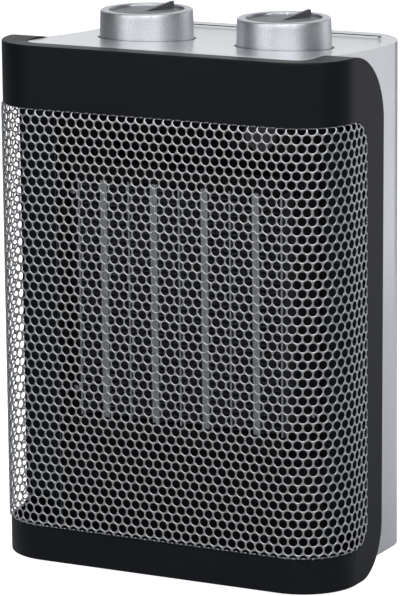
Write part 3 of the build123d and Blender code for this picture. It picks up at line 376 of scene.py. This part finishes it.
def merged_copy(node):
    """The node's own shape with its triangles joined, so that curved faces shade smoothly."""
    bm = bmesh.new()
    bm.from_mesh(frame["nodes"][node].data)
    bmesh.ops.remove_doubles(bm, verts=bm.verts[:], dist=WELD)
    body = frame["nodes"][node]["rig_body"]
    piece = to_object(bm, f"{node}_smooth", finish_of(node), body)
    shade(piece, SHARP_DEGREES)
    flat = piece.modifiers.new("flat_faces_stay_flat", "WEIGHTED_NORMAL")
    flat.mode = "FACE_AREA"
    flat.weight = FLAT_FACE_WEIGHT
    flat.keep_sharp = True
    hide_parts(node)


# ---------------------------------------------------------------- perforated grille
# The sheet is drawn flat, x along it and y up it, and then bent. Rows of holes are staggered by
# half a pitch, and the edge of each hole is rolled into the sheet.
HOLE_PITCH = 5.0 * MM
HOLE_RADIUS = 2.12 * MM
HOLE_ROLL = 0.26 * MM
HOLE_ROLL_DEPTH = 0.26 * MM
HOLE_SIDES = 12
# How far out the middle ring of the roll lies, as a share of the roll
ROLL_MIDDLE = 0.35
ROW_PITCH = HOLE_PITCH * math.sqrt(3) / 2
COLUMN_OFFSET = 1.41 * MM
ROW_ZERO_Z = 215.8 * MM
SHEET = 0.5 * MM
GRILLE_CORNER = 28.85 * MM
OUTLINE_RADIUS = 12.7 * MM
EDGE_BEND = 1.1 * MM
FLANGE = 1.3 * MM
LIP_SHARP_DEGREES = 70.0
# Cells drawn past the border on every side, and cuts that round one corner of the sheet
SPARE = 1
CORNER_CUTS = 5
HOLE_WELD = 0.02 * MM
# Less than these is rounding
ROUNDING = 1e-6
OFF_MIDDLE = 1e-7

grille_low, grille_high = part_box("front_grille")
HALF_WIDTH = (grille_high.x - grille_low.x) / 2
FLAT_HALF = HALF_WIDTH - GRILLE_CORNER
QUARTER_TURN = GRILLE_CORNER * math.pi / 2
SIDE_RUN = grille_high.y - grille_low.y - GRILLE_CORNER
HALF_LENGTH = FLAT_HALF + QUARTER_TURN + SIDE_RUN
HALF_HEIGHT = (grille_high.z - grille_low.z) / 2
MIDDLE_Z = (grille_high.z + grille_low.z) / 2


def wrap(along, height, depth):
    """Carry a point of the flat sheet onto the bent grille, depth below its outer face."""
    side = math.copysign(1.0, along)
    past = abs(along) - FLAT_HALF
    turn = min(max(past / GRILLE_CORNER, 0.0), math.pi / 2)
    run = max(past - QUARTER_TURN, 0.0)
    radius = GRILLE_CORNER - depth
    x = min(abs(along), FLAT_HALF) + radius * math.sin(turn)
    y = grille_low.y + GRILLE_CORNER - radius * math.cos(turn) + run
    return Vector((side * x, y, height))


def turn_in(along, height):
    """Roll the border of the sheet inwards: new place in the sheet, and depth."""
    inner = OUTLINE_RADIUS - EDGE_BEND
    over_x = abs(along) - (HALF_LENGTH - OUTLINE_RADIUS)
    over_z = abs(height - MIDDLE_Z) - (HALF_HEIGHT - OUTLINE_RADIUS)
    reach = Vector((max(over_x, 0.0), max(over_z, 0.0)))
    past = reach.length - inner
    if past <= 0.0:
        return along, height, 0.0
    bend = min(past / EDGE_BEND, math.pi / 2)
    straight = max(past - EDGE_BEND * math.pi / 2, 0.0)
    reach *= (inner + EDGE_BEND * math.sin(bend)) / reach.length
    if over_x > 0.0:
        along = math.copysign(HALF_LENGTH - OUTLINE_RADIUS + reach.x, along)
    if over_z > 0.0:
        height = MIDDLE_Z + math.copysign(HALF_HEIGHT - OUTLINE_RADIUS + reach.y, height - MIDDLE_Z)
    return along, height, EDGE_BEND * (1.0 - math.cos(bend)) + straight


def hexagon_reach(angle):
    """Distance from a hole's centre to the edge of its hexagonal cell."""
    sixth = math.pi / 3
    return HOLE_PITCH / 2 / math.cos((angle + sixth / 2) % sixth - sixth / 2)


def polar(radius, angle, depth=0.0):
    """Point of the flat sheet at a radius and an angle, depth below its face."""
    return Vector((radius * math.cos(angle), radius * math.sin(angle), depth))


def new_verts(result):
    """The points that a bmesh operator made."""
    return [item for item in result["geom"] if isinstance(item, bmesh.types.BMVert)]


def repeat(bm, step, count):
    """Copy everything count times along step."""
    bmesh.ops.spin(
        bm,
        geom=bm.verts[:] + bm.edges[:] + bm.faces[:],
        cent=(0.0, 0.0, 0.0),
        axis=(0.0, 0.0, 1.0),
        dvec=step,
        angle=0.0,
        steps=count,
        use_duplicate=True,
    )


def flat_holes():
    """Flat sheet of staggered round holes. Z holds how far a point lies below the face."""
    bm = bmesh.new()
    bmesh.ops.create_circle(bm, segments=HOLE_SIDES, radius=HOLE_RADIUS)
    bmesh.ops.translate(bm, verts=bm.verts[:], vec=(0.0, 0.0, HOLE_ROLL_DEPTH))
    rim_edges = bm.edges[:]
    for outward, depth in ((ROLL_MIDDLE, 1.0 - ROLL_MIDDLE), (1.0, 0.0)):
        ring = new_verts(bmesh.ops.extrude_edge_only(bm, edges=rim_edges))
        rim_edges = [edge for edge in bm.edges if all(vert in ring for vert in edge.verts)]
        for vert in ring:
            angle = math.atan2(vert.co.y, vert.co.x)
            vert.co = polar(HOLE_RADIUS + HOLE_ROLL * outward, angle, HOLE_ROLL_DEPTH * depth)
    for vert in new_verts(bmesh.ops.extrude_edge_only(bm, edges=rim_edges)):
        angle = math.atan2(vert.co.y, vert.co.x)
        vert.co = polar(hexagon_reach(angle), angle)
    columns = 2 * (math.ceil((HALF_LENGTH + FLANGE) / HOLE_PITCH) + SPARE)
    below = math.ceil((ROW_ZERO_Z - grille_low.z + FLANGE) / ROW_PITCH / 2) + SPARE
    pairs = math.ceil((2 * HALF_HEIGHT + 2 * FLANGE) / ROW_PITCH / 2) + 2 * SPARE
    first = (COLUMN_OFFSET - columns / 2 * HOLE_PITCH, ROW_ZERO_Z - below * 2 * ROW_PITCH, 0.0)
    bmesh.ops.translate(bm, verts=bm.verts[:], vec=first)
    repeat(bm, (HOLE_PITCH, 0.0, 0.0), columns)
    row = new_verts(bmesh.ops.duplicate(bm, geom=bm.verts[:] + bm.edges[:] + bm.faces[:]))
    bmesh.ops.translate(bm, verts=row, vec=(HOLE_PITCH / 2, ROW_PITCH, 0.0))
    repeat(bm, (0.0, 2 * ROW_PITCH, 0.0), pairs)
    bmesh.ops.remove_doubles(bm, verts=bm.verts[:], dist=HOLE_WELD)
    return bm


def cut(bm, place, outward):
    """Remove everything beyond a plane."""
    bmesh.ops.bisect_plane(
        bm,
        geom=bm.verts[:] + bm.edges[:] + bm.faces[:],
        dist=ROUNDING,
        plane_co=place,
        plane_no=outward,
        clear_outer=True,
    )


def trim_to_outline(bm):
    """Cut the flat sheet to its rounded rectangle, with the flange still to be turned in."""
    radius = OUTLINE_RADIUS - EDGE_BEND + EDGE_BEND * math.pi / 2 + FLANGE
    for step in range(4 * CORNER_CUTS):
        outward = polar(1.0, math.pi / 2 * step / CORNER_CUTS)
        sign_x = 1.0 if outward.x > -ROUNDING else -1.0
        sign_z = 1.0 if outward.y > -ROUNDING else -1.0
        corner = Vector(
            (
                sign_x * (HALF_LENGTH - OUTLINE_RADIUS),
                MIDDLE_Z + sign_z * (HALF_HEIGHT - OUTLINE_RADIUS),
                0.0,
            )
        )
        cut(bm, corner + outward * radius, outward)


def grille_quarter(name, side, end):
    """One quarter of the perforated sheet, bent round its corner and in at its border."""
    bm = flat_holes()
    trim_to_outline(bm)
    cut(bm, Vector((0.0, 0.0, 0.0)), Vector((-side, 0.0, 0.0)))
    cut(bm, Vector((0.0, MIDDLE_Z, 0.0)), Vector((0.0, -end, 0.0)))
    for vert in bm.verts:
        along, height, depth = turn_in(vert.co.x, vert.co.y)
        # A point on the middle line belongs to this quarter's side
        if abs(along) <= OFF_MIDDLE:
            along = side * OFF_MIDDLE
        vert.co = wrap(along, height, depth + vert.co.z)
    bmesh.ops.recalc_face_normals(bm, faces=bm.faces[:])
    foremost = min(bm.faces, key=lambda face: face.calc_center_median().y)
    if foremost.normal.y > 0:
        bmesh.ops.reverse_faces(bm, faces=bm.faces[:])
    quarter = to_object(bm, name, FINISHES["grille_steel"])
    quarter.data.materials.append(HOLE_WALL)
    shade(quarter, LIP_SHARP_DEGREES)
    thick = quarter.modifiers.new("sheet", "SOLIDIFY")
    thick.thickness = SHEET
    thick.offset = -1.0
    thick.material_offset_rim = 1
    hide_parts("front_grille")


HOLE_WALL = punched_edge()
for side_name, side in (("left", -1.0), ("right", 1.0)):
    for end_name, end in (("lower", -1.0), ("upper", 1.0)):
        grille_quarter(f"grille_{end_name}_{side_name}", side, end)

# ---------------------------------------------------------------- shells and knobs
SMOOTHED = (
    "front_bezel",
    "housing_shell",
    "selector_knob",
    "thermostat_knob",
    "selector_knob_cap",
    "thermostat_knob_cap",
    "knob_rings",
    "rear_grille",
    "rubber_feet",
    "cable_gland",
    "fan_wheel",
    "fan_duct",
)
for node in SMOOTHED:
    merged_copy(node)

# ---------------------------------------------------------------- painted shade at the grip recess
# A thin dark strip at the foot of the recess's rear wall paints the shade that falls there.
SHADE_STRIP_HALF_WIDTH = 67.45 * MM
SHADE_STRIP_REAR_Y = 52.95 * MM
SHADE_STRIP_FRONT_Y = 47.0 * MM
SHADE_STRIP_CORNER = 3.0 * MM
SHADE_STRIP_WIDTH = 0.2 * MM
SHADE_STRIP_LOW_Z = 257.0 * MM
SHADE_STRIP_HIGH_Z = 257.45 * MM
SHADE_STRIP_CORNER_STEPS = 6


def shade_strip_path(inset):
    """Outline of the rear of the grip recess, moved inwards by inset."""
    corner = SHADE_STRIP_CORNER - inset
    middle = (SHADE_STRIP_HALF_WIDTH - SHADE_STRIP_CORNER, SHADE_STRIP_REAR_Y - SHADE_STRIP_CORNER)
    right = [(SHADE_STRIP_HALF_WIDTH - inset, SHADE_STRIP_FRONT_Y)]
    for step in range(SHADE_STRIP_CORNER_STEPS + 1):
        angle = math.pi / 2 * step / SHADE_STRIP_CORNER_STEPS
        place = (middle[0] + corner * math.cos(angle), middle[1] + corner * math.sin(angle))
        right.append(place)
    return right + [(-x, y) for x, y in reversed(right)]


def grip_recess_painted_shade():
    """Painted shade: a dark strip along the rear wall of the recess in the roof."""
    bm = bmesh.new()
    sections = []
    for outer, inner in zip(shade_strip_path(0.0), shade_strip_path(SHADE_STRIP_WIDTH)):
        sections.append(
            [
                bm.verts.new((x, y, z))
                for (x, y), z in (
                    (outer, SHADE_STRIP_LOW_Z),
                    (outer, SHADE_STRIP_HIGH_Z),
                    (inner, SHADE_STRIP_HIGH_Z),
                    (inner, SHADE_STRIP_LOW_Z),
                )
            ]
        )
    for here, after in zip(sections, sections[1:]):
        for side in range(4):
            bm.faces.new((here[side], here[(side + 1) % 4], after[(side + 1) % 4], after[side]))
    bm.faces.new(sections[0])
    bm.faces.new(sections[-1])
    bmesh.ops.recalc_face_normals(bm, faces=bm.faces[:])
    to_object(bm, "grip_recess_painted_shade", FINISHES["panel_black"])


# Painted shade along the rear wall of the grip recess
grip_recess_painted_shade()

# ---------------------------------------------------------------- studio
bpy.context.scene.view_settings.view_transform = "Standard"
FLOOR_SIZE = 8.0
FLOOR_FADE = (-0.3, 0.3)
FLOOR_FRONT = (0.34, 0.34, 0.34)
FLOOR_BACK = (0.84, 0.85, 0.87)
BACKDROP = 1.2
BACKDROP_TINT = (0.97, 0.985, 1.0, 1.0)
WORLD_FADE = (0.2, 0.75)
WORLD_ACROSS = (-0.15, 0.5)
WORLD_FRONT = 0.06
WORLD_BACK_LEFT = 0.90
WORLD_BACK_RIGHT = 0.24
# Upright panels in front, level with their targets: name, azimuth, distance, width, radiance
PANEL_MIDDLE = 0.67
PANEL_HEIGHT = 1.06
PANELS = (
    ("panel_left", -20.0, 1.0, 0.74, 1.7),
    ("strip_right", 56.0, 1.0, 0.24, 1.7),
    ("front_fill", 26.0, 1.1, 0.85, 1.0),
)
# Softboxes turned to the heater: name, place, target, width, height, radiance
GRILLE_MIDDLE = (0.0, -0.05, 0.13)
RIGHT_SIDE = (0.08, 0.04, 0.14)
SOFTBOXES = (
    ("softbox_key", (0.66, -0.74, 1.15), GRILLE_MIDDLE, 1.5, 1.1, 2.4),
    ("softbox_top", (-0.05, -0.40, 1.45), GRILLE_MIDDLE, 0.9, 0.7, 1.8),
    ("softbox_rear_right", (0.46, 0.58, 0.22), RIGHT_SIDE, 0.36, 0.50, 1.0),
)


def camera_ray(nodes):
    """One for what the camera sees directly, nought for every other ray."""
    return nodes.new("ShaderNodeLightPath").outputs["Is Camera Ray"]


def add_floor():
    """Plain floor that looks evenly white, and throws less light back in front than behind."""
    material, shader = new_material("floor_white", (0.5, 0.5, 0.5), 0.9)
    nodes, links = material.node_tree.nodes, material.node_tree.links
    parts = nodes.new("ShaderNodeSeparateXYZ")
    links.new(object_point(material), parts.inputs["Vector"])
    depth = nodes.new("ShaderNodeMapRange")
    depth.inputs["From Min"].default_value = FLOOR_FADE[0]
    depth.inputs["From Max"].default_value = FLOOR_FADE[1]
    links.new(parts.outputs["Y"], depth.inputs["Value"])
    blend_colour(material, shader, depth.outputs["Result"], FLOOR_FRONT, FLOOR_BACK)
    shader.inputs["Emission Color"].default_value = (1.0, 1.0, 1.0, 1.0)
    links.new(camera_ray(nodes), shader.inputs["Emission Strength"])
    bm = bmesh.new()
    bmesh.ops.create_grid(bm, x_segments=1, y_segments=1, size=FLOOR_SIZE)
    mesh = bpy.data.meshes.new("floor")
    bm.to_mesh(mesh)
    bm.free()
    floor = bpy.data.objects.new("floor", mesh)
    bpy.context.scene.collection.objects.link(floor)
    mesh.materials.append(material)


def add_world():
    """Bright behind the heater, more so on the left, dim in front, with a plain white backdrop."""
    world = bpy.data.worlds.new("studio")
    world.use_nodes = True
    bpy.context.scene.world = world
    nodes, links = world.node_tree.nodes, world.node_tree.links
    background = nodes["Background"]
    place = nodes.new("ShaderNodeTexCoord")
    parts = nodes.new("ShaderNodeSeparateXYZ")
    links.new(place.outputs["Generated"], parts.inputs["Vector"])
    across = nodes.new("ShaderNodeMapRange")
    across.inputs["From Min"].default_value = WORLD_ACROSS[0]
    across.inputs["From Max"].default_value = WORLD_ACROSS[1]
    across.inputs["To Min"].default_value = WORLD_BACK_LEFT
    across.inputs["To Max"].default_value = WORLD_BACK_RIGHT
    depth = nodes.new("ShaderNodeMapRange")
    depth.inputs["From Min"].default_value = WORLD_FADE[0]
    depth.inputs["From Max"].default_value = WORLD_FADE[1]
    for node, side in ((across, "X"), (depth, "Y")):
        node.interpolation_type = "SMOOTHSTEP"
        links.new(parts.outputs[side], node.inputs["Value"])
    surround = nodes.new("ShaderNodeMix")
    surround.inputs["A"].default_value = WORLD_FRONT
    links.new(across.outputs["Result"], surround.inputs["B"])
    links.new(depth.outputs["Result"], surround.inputs["Factor"])
    seen = nodes.new("ShaderNodeMix")
    seen.inputs["B"].default_value = BACKDROP
    links.new(surround.outputs["Result"], seen.inputs["A"])
    links.new(camera_ray(nodes), seen.inputs["Factor"])
    background.inputs["Color"].default_value = BACKDROP_TINT
    links.new(seen.outputs["Result"], background.inputs["Strength"])


def add_softbox(name, place, target, width, height, radiance):
    """Rectangular soft light of an even brightness, out of the camera's sight."""
    data = bpy.data.lights.new(name, "AREA")
    data.shape = "RECTANGLE"
    data.size = width
    data.size_y = height
    data.energy = radiance * math.pi * width * height
    light = bpy.data.objects.new(name, data)
    light.location = place
    light.rotation_mode = "QUATERNION"
    light.rotation_quaternion = (Vector(target) - Vector(place)).to_track_quat("-Z", "Y")
    light.visible_camera = False
    bpy.context.scene.collection.objects.link(light)


def place_at(azimuth, distance, height):
    """Place at an azimuth from the front, towards +X."""
    turn = math.radians(azimuth)
    return (distance * math.sin(turn), -distance * math.cos(turn), height)


add_floor()
add_world()
for name, azimuth, distance, width, radiance in PANELS:
    place = place_at(azimuth, distance, PANEL_MIDDLE)
    add_softbox(name, place, (0.0, 0.0, PANEL_MIDDLE), width, PANEL_HEIGHT, radiance)
for softbox in SOFTBOXES:
    add_softbox(*softbox)
